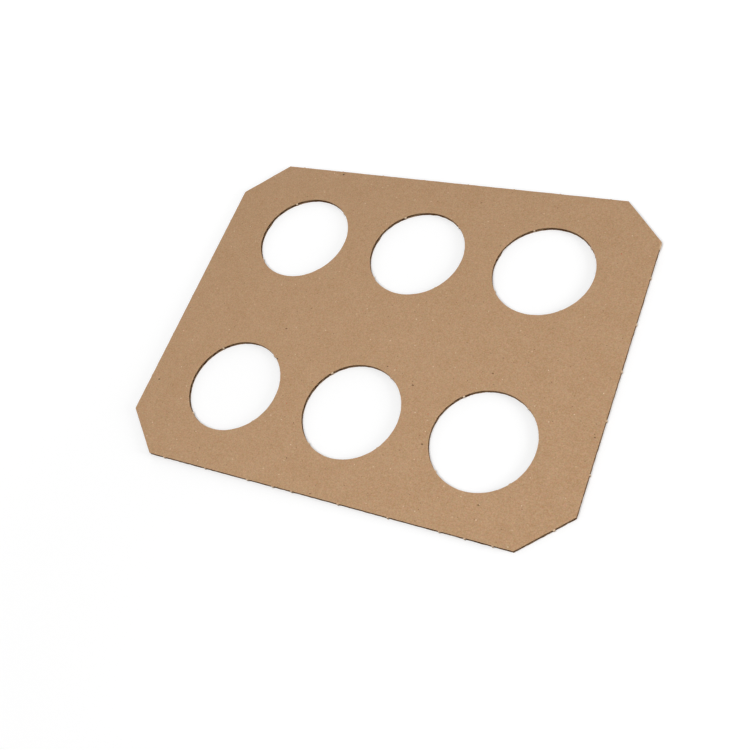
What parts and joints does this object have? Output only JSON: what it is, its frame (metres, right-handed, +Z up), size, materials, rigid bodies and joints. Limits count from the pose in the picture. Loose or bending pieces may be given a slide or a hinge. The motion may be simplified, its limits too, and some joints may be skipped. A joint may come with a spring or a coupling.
{
  "type": "corrugated cup carrier sheet",
  "caption": "Flat die-cut sheet of brown corrugated card with cut-off corners and rows of round holes, which holds paper cups upright in a box or bag.",
  "frame": {"origin": "middle of the lower face of the sheet", "axes": "+X along the flutes and the longer side, +Y across the flutes, +Z up out of the upper face"},
  "size_m": [0.3154, 0.2454, 0.0027],
  "materials": {
    "kraft_card": "matte natural brown kraft liner, with small flecks and fibres"
  },
  "bodies": {
    "root": {"carrier_board": "kraft_card"}
  },
  "joints": []
}
